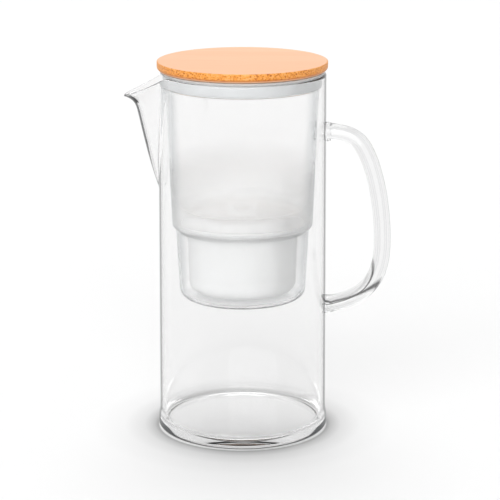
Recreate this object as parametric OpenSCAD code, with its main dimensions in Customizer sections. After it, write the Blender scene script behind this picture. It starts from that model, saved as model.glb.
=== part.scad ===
// Glass water filter jug with a drop-in hopper, a cartridge and a lift-off bamboo lid.
// Millimetres, +Z up. The origin is on the jug's axis, on the plane that it stands on.
// The spout points to -X and the handle to +X.

/* [Glass jug] */
// Outer diameter of the glass above the foot
jug_d = 125; // [120:0.5:134]
// Outer diameter of the glass at the rim
mouth_d = 122.8; // [119:0.2:130]
// Height of the glass rim above the table
jug_h = 269; // [252:1:290]
// Wall thickness of the glass
glass_t = 2.8; // [2.2:0.1:3.4]
// Thickness of the glass floor
floor_t = 6; // [4:0.5:9]
// How far the foot swells past the wall
foot_swell = 1.1; // [0.4:0.1:2]
// Radius of the foot's outer bottom edge
foot_round = 3.6; // [2:0.1:5]
// Radius of the corner between the floor and the inside of the wall
floor_round = 5; // [2:0.5:9]

/* [Spout] */
// How far the lip reaches out from the wall
spout_reach = 25.8; // [18:0.1:34]
// How far below the rim the fold of the spout starts
spout_drop = 85.4; // [64:0.2:110]
// How far the lip dips below the rim
spout_dip = 16.5; // [9:0.5:20]
// Half of the angle that the spout takes of the rim
spout_half_angle = 23.5; // [18:0.5:28]

/* [Handle] */
// Diameter of the glass rod
rod_d = 12.3; // [10:0.1:15]
// How far the rod's centre line reaches out past the wall above the foot
handle_reach = 41.4; // [36:0.2:52]
// Height of the upper weld
handle_top = 226.2; // [212:0.2:236]
// Height of the lower weld
handle_foot = 94.3; // [80:0.1:106]
// How far the melted glass spreads round the rod at each weld
weld_swell = 2.8; // [1:0.1:4]

/* [Hopper] */
// Wall thickness of the hopper
hopper_wall = 1.8; // [1.4:0.1:2.2]
// Thickness of the flange that rests on the rim
flange_t = 2; // [1.6:0.1:3.4]
// How far the flange stops short of the outside of the rim
flange_inset = 1.2; // [0.6:0.1:1.8]
// Depth of the basin, from the rim down to the shoulder
basin_depth = 112.4; // [98:0.2:120]
// Diameter of the basin at the shoulder
basin_foot_d = 104.2; // [103:0.2:108]
// Height of the slanted shoulder
shoulder_h = 3.6; // [2.5:0.1:5]
// How far the well is set in from the basin, all round
well_inset = 2.7; // [2.4:0.1:3.6]
// How much the well draws in down to its foot, all round
well_draft = 2.8; // [1:0.1:4]
// Depth of the well, from the shoulder to its underside
well_depth = 55.4; // [54.6:0.2:62]
// Outside radius of the well's bottom edge
well_round = 7; // [4:0.5:10]
// Thickness of the well's floor
well_floor_t = 2.2; // [1.8:0.1:3]

/* [Seals] */
// Thickness of the band that seals the hopper in the mouth
band_t = 2; // [1.4:0.1:2.6]
// Height of that band
band_h = 8.4; // [6:0.1:10]
// Height of the bead under the band
bead_h = 1.3; // [1:0.1:2]
// How far the bead stands out from the collar
bead_out = 0.7; // [0.4:0.1:1]
// Thickness of the outlet's grommet, measured along the radius
grommet_t = 1.5; // [1.2:0.1:2]
// Depth of the grommet's groove for the floor
grommet_grip = 1.1; // [0.6:0.1:1.6]
// Thickness of the gasket under the cartridge's brim
gasket_t = 1.2; // [0.8:0.1:1.8]
// Width of that gasket
gasket_w = 3; // [2.6:0.1:4]

/* [Cartridge] */
// Diameter of the cartridge's cup under its brim
cup_d = 82; // [78:0.5:84]
// How much narrower the cup is at its foot
cup_draft = 2.8; // [1:0.2:4]
// Depth of the cup below the brim
cup_depth = 52.2; // [46:0.2:52.8]
// Wall thickness of the cup and its cap
cup_wall = 1.6; // [1.2:0.1:2]
// Outside radius of the cup's bottom edge
cup_round = 7; // [4:0.5:9]
// Thickness of the brim
brim_t = 1.8; // [1.4:0.1:2.4]
// Outer radius of the outlet spigot
spigot_r = 9; // [7.5:0.1:10]
// Height of the finger ring round the cap
ring_h = 5.6; // [4:0.2:8]
// Thickness of the cap's plate
cap_t = 2; // [1.6:0.1:2.6]
// Number of inlet slots in the cap
slots = 18; // [12:1:24]
// Width of an inlet slot
slot_w = 2; // [1.2:0.1:2.4]
// Height of the grip on the cap
grip_h = 11; // [8:0.5:14]
// Length of the grip on the cap
grip_l = 22; // [18:0.5:26]
// Thickness of a felt disc
felt_t = 1.6; // [1:0.1:2.4]
// Depth of the bed of resin beads
resin_h = 19; // [14:0.5:20]

/* [Lid] */
// How far the lid hangs over the outside of the rim
lid_over = 1.1; // [0:0.1:4]
// Thickness of the bamboo board
lid_t = 6.7; // [6:0.1:12]
// Radius that the lower edge of the board is turned to
lid_turn = 3; // [1.5:0.1:4]
// Small radius on the upper edge of the board
lid_ease = 0.7; // [0.3:0.1:1.2]
// Thickness of the bamboo plug under the board
plug_t = 7; // [6:0.1:8]
// Height of the lid's sealing ring
lid_ring_h = 3; // [2:0.1:4]
// Depth of the plug's groove that holds the ring
lid_groove = 1.4; // [1:0.1:2]

/* [Fits] */
// Gap between the band and the inside of the glass, all round
band_gap = 0.35; // [0.3:0.05:0.5]
// Gap that a piece is held above its seat
seat_gap = 0.3; // [0.25:0.05:0.4]
// Gap round the brim in the basin and round the spigot in its grommet
lift_gap = 0.4; // [0.3:0.05:0.6]
// Gap between the lid's ring and the hopper, all round
ring_gap = 0.35; // [0.3:0.05:0.5]
// Gap round the felts, the beds and the cap's skirt in the cup
fill_gap = 0.25; // [0.1:0.05:0.4]

/* [Hidden] */
$fn = 96;

// Glass jug
jug_r = jug_d / 2;
mouth_r = mouth_d / 2;
mouth_ir = mouth_r - glass_t;
rim_r = glass_t / 2;
foot_h = foot_round + 3;
swell_top = foot_h + 9.4;
swell_steps = 5;

// Spout: the fold's width at its foot as a share of the width at the lip, the share of the
// reach that the long slope takes, and the powers of the slope, the lip's curl and its dip
spout_z = jug_h - spout_drop;
fold_foot = 0.38;
slope_share = 0.7;
slope_power = 0.8;
curl_power = 26;
dip_power = 0.6;
cols = 16;
rows = 13;
row_power = 1.4;
rim_steps = 5;
seam_over = 3;
seam_sink = 0.15;

// Handle: places on the rod's line and the pulls of its curves, as shares of the reach
// across and of the distance between the welds upwards
weld_root = 2;
weld_fade = 3.2;
rod_sides = 24;
handle_span = handle_top - handle_foot;
shoulder_in = 0.375;
shoulder_down = 0.08;
shoulder_lean = [0.56, -0.83];
shoulder_pull = [0.06, 0.106];
belly_up = 0.37;
belly_pull = [0.243, 0.227];
top_pull = 0.435;
foot_pull = [0.773, 0.033];

// Hopper
collar_r = mouth_ir - band_gap - band_t;
flange_r = mouth_r - flange_inset;
flange_z = jug_h + seat_gap;
flange_top = flange_z + flange_t;
flange_ease = 0.8;
band_ease = 0.5;
band_z = flange_z - band_h;
collar_z = band_z - bead_h;
collar_ir = collar_r - hopper_wall;
basin_foot_r = basin_foot_d / 2;
shoulder_z = jug_h - basin_depth;
well_top_r = basin_foot_r - well_inset;
well_foot_r = well_top_r - well_draft;
hopper_z = shoulder_z - well_depth;
ledge_z = shoulder_z + hopper_wall / 3;
well_bore_r = spigot_r + lift_gap + grommet_t;
grommet_ir = spigot_r + lift_gap;
grommet_lip = 0.9;
grommet_ease = 0.4;

// Cartridge
cup_r = cup_d / 2;
cup_foot_r = cup_r - cup_draft / 2;
brim_z = ledge_z + seat_gap + gasket_t;
brim_r = basin_foot_r - hopper_wall - lift_gap;
brim_top = brim_z + brim_t;
cup_z = brim_z - cup_depth;
cup_floor_z = cup_z + cup_wall;
spigot_wall = 1.6;
spigot_z = hopper_z + grommet_lip;
strainer_t = 0.9;
strainer_step = 1;
strainer_slot_w = 0.8;
strainer_slot_l = 9;
strainer_pitch = 1.5;
skirt_h = 4.6;
skirt_r = cup_r - cup_wall - fill_gap - 0.3;
cap_r = cup_r + 2.4;
ring_slant = 0.6;
grip_t = 3.2;
grip_bar = 4;
cap_top = brim_top + cap_t;
bottom_felt_z = cup_floor_z;
resin_z = bottom_felt_z + felt_t;
middle_felt_z = resin_z + resin_h;
carbon_z = middle_felt_z + felt_t;
top_felt_z = brim_top - skirt_h - felt_t;

// Lid
lid_r = mouth_r + lid_over;
lid_z = flange_top + seat_gap;
lid_ring_r = collar_ir - ring_gap;
ring_out = 1.5;
ring_flat = 0.8;
plug_ease = 1;
plug_r = lid_ring_r - ring_out;
plug_z = lid_z - plug_t;
lid_ring_z = plug_z + (plug_t - lid_ring_h) / 2;

// Points of an arc, from angle a to angle b, round the point c
function arc(c, r, a, b, n = 6) =
    [for (i = [0 : n]) c + r * [cos(a + (b - a) * i / n), sin(a + (b - a) * i / n)]];
function clamp01(v) = max(0, min(1, v));
function blend(a, b, t) = a + (b - a) * t;

// Outer radius of the glass at height z: the wall draws in evenly from the foot to the rim
function wall_r(z) = blend(jug_r, mouth_r, clamp01((z - swell_top) / (jug_h - rim_r - swell_top)));

// Share of the swell at angle a off the fold of a spout that is w wide on each side
function fold(a, w) = abs(a) >= w ? 0 : (1 + cos(180 * a / w)) / 2;
// The fold is narrow at its foot and as wide as the spout at the lip
function fold_angle(s) = spout_half_angle * blend(fold_foot, 1, pow(s, slope_power));
// Share of the reach at share s of the height: a long slope and a lip that curls out
function slope(s) = slope_share * pow(s, slope_power) + (1 - slope_share) * pow(s, curl_power);
function rim_z(a) = jug_h - spout_dip * pow(fold(a, spout_half_angle), dip_power);
function spout_r(a, z, s) = wall_r(z) + spout_reach * slope(s) * fold(a, fold_angle(s));

// Closed outline of the spout's wall in the upright plane at angle a, sunk by d
function spout_outline(a, d) =
    let (
        top = rim_z(a) - rim_r,
        heights = concat(
            [spout_z - seam_over, spout_z - seam_over / 5],
            [for (j = [0 : rows]) blend(spout_z, top, pow(j / rows, row_power))]
        ),
        sinks = concat([seam_sink, seam_sink], [for (j = [0 : rows]) d]),
        outer = [
            for (j = [0 : len(heights) - 1])
                let (s = clamp01((heights[j] - spout_z) / (top - spout_z)))
                [spout_r(a, heights[j], s), heights[j]]
        ],
        last = len(outer) - 1,
        lip = arc(outer[last] - [rim_r, 0], rim_r - d, 0, 180, rim_steps)
    )
    concat(
        [for (j = [0 : last - 1]) outer[j] - [sinks[j], 0]],
        lip,
        [for (j = [last - 1 : -1 : 0]) outer[j] - [glass_t - sinks[j], 0]]
    );

// A skin over outlines that all have the same even number of points. Each end is closed
// by a ladder of triangles between the two halves of its outline
module skin(rings) {
    n = len(rings[0]);
    m = len(rings);
    sides = [
        for (i = [0 : m - 2]) for (k = [0 : n - 1])
            let (a = i * n + k, b = i * n + (k + 1) % n)
            each [[a, b, b + n], [a, b + n, a + n]]
    ];
    ladder = [
        for (k = [0 : n / 2 - 2])
            each [[k + 1, k, n - 1 - k], [k + 1, n - 1 - k, n - 2 - k]]
    ];
    far_ladder = [for (t = ladder) [for (k = [2 : -1 : 0]) (m - 1) * n + t[k]]];
    polyhedron([for (ring = rings) each ring], concat(sides, ladder, far_ladder), convexity = 8);
}

module spout_wall() {
    angles = concat(
        [-spout_half_angle - seam_over, -spout_half_angle - seam_over / 3],
        [for (i = [-cols : cols]) spout_half_angle * i / cols],
        [spout_half_angle + seam_over / 3, spout_half_angle + seam_over]
    );
    skin([
        for (a = angles)
            let (d = abs(a) > spout_half_angle ? seam_sink : 0)
            [for (p = spout_outline(a, d)) [-p.x * cos(a), -p.x * sin(a), p.y]]
    ]);
}

// Wedge of the plain wall that the spout takes the place of. The spout overlaps its edges
module spout_window() {
    overlap = seam_over * 2 / 3;
    w = spout_half_angle + overlap;
    far = jug_d;
    translate([0, 0, spout_z - overlap])
        linear_extrude(jug_h)
            polygon([[0, 0], [-far, -far * tan(w)], [-far, far * tan(w)]]);
}

module glass_jug() {
    foot_r = jug_r + foot_swell;
    outline = concat(
        [[0, 0]],
        arc([foot_r - foot_round, foot_round], foot_round, -90, 0),
        [for (i = [0 : swell_steps]) [
            jug_r + foot_swell * (1 + cos(180 * i / swell_steps)) / 2,
            blend(foot_h, swell_top, i / swell_steps)
        ]],
        arc([mouth_r - rim_r, jug_h - rim_r], rim_r, 0, 180),
        arc([jug_r - glass_t - floor_round, floor_t + floor_round], floor_round, 0, -90),
        [[0, floor_t]]
    );
    color([0.86, 0.93, 0.94, 0.35]) {
        difference() {
            rotate_extrude() polygon(outline);
            spout_window();
        }
        spout_wall();
    }
}

// Point at share t of a cubic curve with the corners p
function curve(p, t) =
    pow(1 - t, 3) * p[0] + 3 * t * pow(1 - t, 2) * p[1] + 3 * t * t * (1 - t) * p[2] + pow(t, 3) * p[3];

// The rod's centre line in the XZ plane: out from the upper weld, round the shoulder,
// down the bowed grip and back in to the lower weld
function rod_line() =
    let (
        across = handle_reach,
        up = handle_span,
        root = mouth_r - weld_root,
        out = jug_r + across,
        lean = up * shoulder_lean,
        shoulder = [out - shoulder_in * across, handle_top - shoulder_down * up],
        belly = [out, handle_foot + belly_up * up],
        foot = [root, handle_foot],
        a = [
            [root, handle_top],
            [root + top_pull * across, handle_top],
            shoulder - shoulder_pull[0] * lean,
            shoulder
        ],
        b = [shoulder, shoulder + shoulder_pull[1] * lean, belly + [0, belly_pull[0] * up], belly],
        c = [
            belly,
            belly - [0, belly_pull[1] * up],
            foot + [foot_pull[0] * across, foot_pull[1] * up],
            foot
        ]
    )
    concat(
        [for (i = [0 : 13]) curve(a, i / 14)],
        [for (i = [0 : 11]) curve(b, i / 12)],
        [for (i = [0 : 18]) curve(c, i / 18)]
    );

module glass_handle() {
    line = rod_line();
    last = len(line) - 1;
    rings = [
        for (i = [0 : last])
            let (
                step = line[min(i + 1, last)] - line[max(i - 1, 0)],
                along = step / norm(step),
                off = line[i].x - wall_r(line[i].y),
                r = rod_d / 2 + weld_swell * exp(-pow(max(off, 0) / weld_fade, 2))
            )
            [for (k = [0 : rod_sides - 1])
                let (q = 360 * k / rod_sides)
                [
                    line[i].x - r * cos(q) * along.y,
                    r * sin(q),
                    line[i].y + r * cos(q) * along.x
                ]
            ]
    ];
    color([0.86, 0.93, 0.94, 0.35])
        difference() {
            skin(rings);
            translate([0, 0, swell_top])
                cylinder(h = jug_h - rim_r - swell_top, r1 = jug_r, r2 = mouth_r);
        }
}

module hopper() {
    inner_foot_r = well_foot_r - hopper_wall;
    inner_round = max(well_round - hopper_wall, 1);
    floor_top = hopper_z + well_floor_t;
    outline = concat(
        [[well_bore_r, hopper_z]],
        arc([well_foot_r - well_round, hopper_z + well_round], well_round, -90, 0),
        [
            [well_top_r, shoulder_z - shoulder_h],
            [basin_foot_r, shoulder_z],
            [collar_r, collar_z]
        ],
        arc([collar_r, collar_z + bead_h / 2], bead_out, -90, 90, 4),
        [[collar_r, band_z], [collar_r, flange_z]],
        arc([flange_r - flange_ease, flange_z + flange_ease], flange_ease, -90, 0, 3),
        arc([flange_r - flange_ease, flange_top - flange_ease], flange_ease, 0, 90, 3),
        [
            [collar_ir, flange_top],
            [collar_ir, collar_z],
            [basin_foot_r - hopper_wall, ledge_z],
            [well_top_r - hopper_wall, ledge_z]
        ],
        arc([inner_foot_r - inner_round, floor_top + inner_round], inner_round, 0, -90),
        [[well_bore_r, floor_top]]
    );
    color([0.9, 0.92, 0.93, 0.55]) rotate_extrude() polygon(outline);
}

// Silicone band in the mouth: it hugs the collar between the bead and the flange
module mouth_band() {
    out = collar_r + band_t;
    color([0.84, 0.85, 0.86])
        rotate_extrude()
            polygon(concat(
                [[collar_r, band_z]],
                arc([out - band_ease, band_z + band_ease], band_ease, -90, 0, 3),
                arc([out - band_ease, flange_z - band_ease], band_ease, 0, 90, 3),
                [[collar_r, flange_z]]
            ));
}

// Grommet in the well's floor: a groove grips the floor's edge from both sides
module outlet_grommet() {
    grip_r = well_bore_r + grommet_grip;
    floor_top = hopper_z + well_floor_t;
    color([0.32, 0.33, 0.34])
        rotate_extrude()
            polygon([
                [grommet_ir, hopper_z - grommet_lip],
                [grip_r - grommet_ease, hopper_z - grommet_lip],
                [grip_r, hopper_z],
                [well_bore_r, hopper_z],
                [well_bore_r, floor_top],
                [grip_r, floor_top],
                [grip_r - grommet_ease, floor_top + grommet_lip],
                [grommet_ir, floor_top + grommet_lip]
            ]);
}

// Cup of the cartridge: a brim that hangs on the hopper's ledge and a spigot at the foot
module cartridge_cup() {
    spigot_ir = spigot_r - spigot_wall;
    strainer_r = spigot_ir + strainer_step;
    inner_round = max(cup_round - cup_wall, 1);
    outline = concat(
        [
            [spigot_ir, spigot_z],
            [spigot_r, spigot_z],
            [spigot_r, cup_z]
        ],
        arc([cup_foot_r - cup_round, cup_z + cup_round], cup_round, -90, 0),
        [
            [cup_r, brim_z],
            [brim_r, brim_z],
            [brim_r, brim_top],
            [cup_r - cup_wall, brim_top]
        ],
        arc([cup_foot_r - cup_wall - inner_round, cup_floor_z + inner_round], inner_round, 0, -90),
        [
            [strainer_r, cup_floor_z],
            [strainer_r, cup_floor_z - strainer_t],
            [spigot_ir, cup_floor_z - strainer_t]
        ]
    );
    color([0.93, 0.94, 0.95, 0.8]) rotate_extrude() polygon(outline);
}

module slot_ring(count, r0, r1, w, z, h) {
    for (i = [0 : count - 1])
        rotate(360 * i / count)
            translate([r0, -w / 2, z])
                cube([r1 - r0, w, h]);
}

// Cap of the cartridge: a slotted plate, a skirt in the cup, a finger ring and a grip
module cartridge_cap() {
    slot_in = grip_l / 2 + 3;
    slot_out = skirt_r - cup_wall - 2;
    hold_h = grip_h - 1.4 * grip_bar;
    color([0.95, 0.95, 0.96]) {
        difference() {
            rotate_extrude()
                polygon([
                    [0, brim_top],
                    [skirt_r - cup_wall, brim_top],
                    [skirt_r - cup_wall, brim_top - skirt_h],
                    [skirt_r, brim_top - skirt_h],
                    [skirt_r, brim_top],
                    [cap_r, brim_top],
                    [cap_r, brim_top + ring_h],
                    [cap_r - cup_wall, brim_top + ring_h],
                    [cap_r - cup_wall - ring_slant, cap_top],
                    [0, cap_top]
                ]);
            slot_ring(slots, slot_in, slot_out, slot_w, brim_top - 1, cap_t + 2);
        }
        translate([-grip_l / 2, grip_t / 2, cap_top - 0.5])
            rotate([90, 0, 0])
                linear_extrude(grip_t)
                    difference() {
                        square([grip_l, grip_h]);
                        translate([grip_bar, grip_h - hold_h - 0.6 * grip_bar])
                            square([grip_l - 2 * grip_bar, hold_h]);
                    }
    }
}

module cartridge_gasket() {
    color([0.8, 0.82, 0.83])
        rotate_extrude()
            translate([brim_r - gasket_w, brim_z - gasket_t])
                square([gasket_w, gasket_t]);
}

module outlet_strainer() {
    r = spigot_r - spigot_wall + strainer_step - 0.1;
    color([0.9, 0.9, 0.9])
        difference() {
            translate([0, 0, cup_floor_z - strainer_t]) cylinder(h = strainer_t, r = r);
            for (i = [-3 : 3])
                translate([
                    i * strainer_pitch - strainer_slot_w / 2,
                    -strainer_slot_l / 2,
                    cup_floor_z - strainer_t - 1
                ])
                    cube([strainer_slot_w, strainer_slot_l, strainer_t + 2]);
        }
}

// Radius of the space in the cup at height z, less the gap round a filling
function fill_r(z) =
    blend(cup_foot_r, cup_r, (z - cup_z) / cup_depth) - cup_wall - fill_gap - 0.1;

module felt(z) {
    r = z == cup_floor_z ? cup_foot_r - cup_round : fill_r(z);
    color([0.95, 0.95, 0.94]) translate([0, 0, z]) cylinder(h = felt_t, r = r);
}

module bottom_felt() {
    felt(bottom_felt_z);
}

// The beads lie on the felt and follow the cup's rounded bottom edge
module resin_bed() {
    inner_round = max(cup_round - cup_wall, 1);
    r = fill_r(resin_z);
    foot = cup_foot_r - cup_round;
    color([0.86, 0.76, 0.5])
        rotate_extrude()
            polygon([
                [0, resin_z],
                [foot, resin_z],
                [r - 0.3, cup_floor_z + inner_round],
                [fill_r(middle_felt_z) - 0.1, middle_felt_z],
                [0, middle_felt_z]
            ]);
}

module middle_felt() {
    felt(middle_felt_z);
}

module carbon_bed() {
    color([0.12, 0.12, 0.13])
        translate([0, 0, carbon_z])
            cylinder(h = top_felt_z - carbon_z, r = fill_r(carbon_z));
}

module top_felt() {
    felt(top_felt_z);
}

// Bamboo board: a crisp upper edge, and a lower edge turned to a soft radius
module lid_board() {
    outline = concat(
        [[0, lid_z]],
        arc([lid_r - lid_turn, lid_z + lid_turn], lid_turn, -90, 0, 8),
        arc([lid_r - lid_ease, lid_z + lid_t - lid_ease], lid_ease, 0, 90, 4),
        [[0, lid_z + lid_t]]
    );
    color([0.9, 0.62, 0.32]) rotate_extrude() polygon(outline);
}

// Bamboo plug glued under the board, with a groove round it
module lid_plug() {
    color([0.85, 0.58, 0.3])
        rotate_extrude()
            polygon([
                [0, plug_z],
                [plug_r - plug_ease, plug_z],
                [plug_r, plug_z + plug_ease],
                [plug_r, lid_ring_z],
                [plug_r - lid_groove, lid_ring_z],
                [plug_r - lid_groove, lid_ring_z + lid_ring_h],
                [plug_r, lid_ring_z + lid_ring_h],
                [plug_r, lid_z],
                [0, lid_z]
            ]);
}

module lid_ring() {
    inner = plug_r - lid_groove;
    mid = lid_ring_z + lid_ring_h / 2;
    color([0.93, 0.93, 0.92])
        rotate_extrude()
            polygon([
                [inner, lid_ring_z],
                [plug_r, lid_ring_z],
                [lid_ring_r, mid - ring_flat / 2],
                [lid_ring_r, mid + ring_flat / 2],
                [plug_r, lid_ring_z + lid_ring_h],
                [inner, lid_ring_z + lid_ring_h]
            ]);
}

glass_jug();
glass_handle();
hopper();
mouth_band();
outlet_grommet();
cartridge_cup();
cartridge_cap();
cartridge_gasket();
outlet_strainer();
bottom_felt();
resin_bed();
middle_felt();
carbon_bed();
top_felt();
lid_board();
lid_plug();
lid_ring();
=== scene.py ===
"""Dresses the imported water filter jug: glass, hopper, seals, cartridge, bamboo lid and stage."""

import math

import bpy
import numpy as np
from bpy.props import FloatProperty, FloatVectorProperty, PointerProperty
from mathutils import Euler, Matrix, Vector


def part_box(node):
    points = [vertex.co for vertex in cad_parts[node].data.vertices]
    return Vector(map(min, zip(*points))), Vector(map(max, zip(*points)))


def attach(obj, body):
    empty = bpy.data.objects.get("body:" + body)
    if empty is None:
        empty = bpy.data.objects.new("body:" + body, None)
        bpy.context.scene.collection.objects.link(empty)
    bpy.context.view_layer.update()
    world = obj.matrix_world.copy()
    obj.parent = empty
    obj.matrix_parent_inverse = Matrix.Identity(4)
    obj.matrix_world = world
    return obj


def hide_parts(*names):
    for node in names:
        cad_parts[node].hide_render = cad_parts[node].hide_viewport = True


bl_info = {
    "name": "Water filter jug",
    "version": (1, 0, 0),
    "blender": (4, 5, 0),
    "location": "View3D > Sidebar > Filter Jug",
    "description": "Glass water filter jug with a drop-in hopper and a bamboo lid",
    "category": "Object",
}

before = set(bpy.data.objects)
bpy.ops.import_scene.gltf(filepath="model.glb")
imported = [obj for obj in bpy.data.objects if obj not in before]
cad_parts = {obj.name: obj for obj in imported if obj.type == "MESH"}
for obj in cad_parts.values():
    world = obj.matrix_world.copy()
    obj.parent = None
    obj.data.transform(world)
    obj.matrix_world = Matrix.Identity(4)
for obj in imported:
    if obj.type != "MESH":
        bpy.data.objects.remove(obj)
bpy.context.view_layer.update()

MM = 0.001
SEGMENTS = 192
# Radii of the rings on a flat disc, in shares of its own
DISC = np.array([0.3, 0.6, 0.85, 0.97, 1.0])
# Guard distance that keeps the shading of a crisp corner to the corner itself
CRISP = 0.03 * MM
# The rod starts this far off the wall, its swell fades over this length, and its end discs lie this
# far off the wall
WELD_START, WELD_FADE, WELD_GAP = 0.9 * MM, 2.6 * MM, 0.02 * MM
# Share of the bead bed's width at its foot, where it lies in the cup's rounded edge
RESIN_FOOT = 0.9
# Height that the hopper's finishes are given in shares of
HOPPER_SPAN = 300 * MM
# Milky silicone lets a little light in
SILICONE = {"subsurface": 0.3, "ior": 1.41}
# How far the attribute "drawn" moves the jug's glass towards its painted dark edge
EDGE_SHIFT = 0.24
# What a ray thrown back inside the glass meets: the tent's strength, the share of the floor's
# colour and the strength of its glow
UNLIT_SIDE, UNLIT_FLOOR, UNLIT_GLOW = 0.74, 0.45, 0.3
# Glow of the floor to the eye, so that it meets the white surround
FLOOR_GLOW = 0.06
# The floor's half side, and its height just under the foot
FLOOR_HALF, FLOOR_Z = 20.0, -0.2 * MM
# A ray crosses many clear walls before it leaves
BOUNCES = 32


def srgb(code):
    """Linear colour of an sRGB hex value: each channel above the toe is ((c + 0.055) / 1.055) ^ 2.4."""
    c = np.array([int(code[i : i + 2], 16) for i in (1, 3, 5)]) / 255
    return tuple(np.where(c <= 0.04045, c / 12.92, ((c + 0.055) / 1.055) ** 2.4))


def rgba(tone):
    """Opaque colour from a linear colour, or from one number for a neutral grey."""
    return (*np.broadcast_to(tone, 3), 1.0)


def length(name, description, mm):
    """A length property with its default in millimetres."""
    return FloatProperty(
        name=name, description=description, default=mm * MM, subtype="DISTANCE", unit="LENGTH"
    )


def colour(name, description, code):
    """A colour property with an sRGB hex default."""
    return FloatVectorProperty(
        name=name, description=description, default=srgb(code), size=3, min=0, max=1, subtype="COLOR"
    )


class GlassSizes(bpy.types.PropertyGroup):
    body_r: length("Body radius", "Outer radius of the glass above the foot", 62.5)
    mouth_r: length("Mouth radius", "Outer radius of the glass at the rim", 61.4)
    height: length("Height", "Height of the rim", 269)
    wall: length("Wall", "Wall thickness", 2.8)
    floor: length("Floor", "Thickness of the floor", 6)
    foot_swell: length("Foot swell", "How far the foot swells past the wall", 1.1)
    foot_round: length("Foot radius", "Radius of the foot's bottom edge", 3.6)
    floor_round: length("Floor radius", "Radius between the floor and the inside of the wall", 5)
    swell_top: length("Swell top", "Height where the foot's swell ends", 16)
    spout_reach: length("Spout reach", "How far the lip reaches out", 25.8)
    spout_drop: length("Spout drop", "How far below the rim the fold starts", 85.4)
    spout_dip: length("Spout dip", "How far the lip dips below the rim", 16.5)
    spout_half_angle: FloatProperty(
        name="Spout half angle", description="Half of the angle that the spout takes of the rim",
        default=math.radians(32), subtype="ANGLE", unit="ROTATION",
    )
    rod_r: length("Rod radius", "Radius of the handle's glass rod", 6.15)
    handle_reach: length("Handle reach", "How far the rod's centre line reaches past the wall", 41.4)
    handle_top: length("Upper weld", "Height of the upper weld", 226.2)
    handle_foot: length("Lower weld", "Height of the lower weld", 94.3)
    weld_swell: length("Weld swell", "How far the melted glass spreads at a weld", 1.7)


class HopperSizes(bpy.types.PropertyGroup):
    wall: length("Wall", "Wall thickness of the hopper", 1.8)
    flange: length("Flange", "Thickness of the flange", 2)
    flange_r: length("Flange radius", "Radius of the flange", 60.2)
    flange_z: length("Flange height", "Height of the flange's underside", 269.3)
    collar_r: length("Collar radius", "Outer radius of the collar", 56.25)
    collar_z: length("Collar foot", "Height of the bead's foot", 259.6)
    basin_foot_r: length("Basin foot radius", "Outer radius at the shoulder", 52.1)
    shoulder_z: length("Shoulder height", "Height of the shoulder's upper edge", 156.6)
    shoulder: length("Shoulder", "Height of the slanted shoulder", 3.6)
    well_top_r: length("Well top radius", "Radius of the well under the shoulder", 49.4)
    well_foot_r: length("Well foot radius", "Radius of the well at its foot", 46.6)
    well_round: length("Well radius", "Radius of the well's bottom edge", 7)
    well_z: length("Well height", "Height of the well's underside", 101.2)
    well_floor: length("Well floor", "Thickness of the well's floor", 2.2)
    bore_r: length("Bore radius", "Radius of the outlet bore", 10.9)
    band: length("Band", "Thickness of the silicone band", 2)
    band_z: length("Band height", "Height of the band's lower edge", 260.9)


class CartridgeSizes(bpy.types.PropertyGroup):
    cup_r: length("Cup radius", "Radius of the cup under its brim", 41)
    foot_r: length("Foot radius", "Radius of the cup at its foot", 39.6)
    wall: length("Wall", "Wall thickness of the cup", 1.6)
    cup_round: length("Cup radius at foot", "Radius of the cup's bottom edge", 7)
    cup_z: length("Cup height", "Height of the cup's underside", 106.5)
    brim_r: length("Brim radius", "Radius of the brim", 49.9)
    brim_z: length("Brim height", "Height of the brim's underside", 158.7)
    brim: length("Brim", "Thickness of the brim", 1.8)
    spigot_r: length("Spigot radius", "Outer radius of the spigot", 9)
    spigot_z: length("Spigot height", "Height of the spigot's end", 102.1)
    bore_r: length("Spigot bore", "Radius of the spigot's bore", 7.4)
    strainer_r: length("Strainer radius", "Radius of the strainer's seat", 8.4)
    strainer: length("Strainer", "Thickness of the strainer", 0.9)


class LidSizes(bpy.types.PropertyGroup):
    board_r: length("Board radius", "Radius of the board", 62.5)
    board_z: length("Board height", "Height of the board's underside", 271.6)
    board: length("Board", "Thickness of the board", 6.7)
    turn: length("Lower turn", "Radius on the lower edge", 3)
    ease: length("Upper ease", "Radius on the upper edge", 0.7)
    plug_r: length("Plug radius", "Radius of the plug", 52.6)
    plug_z: length("Plug height", "Height of the plug's underside", 264.6)
    groove: length("Groove", "Depth of the ring's groove", 1.4)
    ring_r: length("Ring radius", "Radius of the sealing ring", 54.1)
    ring_z: length("Ring height", "Height of the ring's underside", 266.6)
    ring: length("Ring", "Height of the ring", 3)


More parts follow.
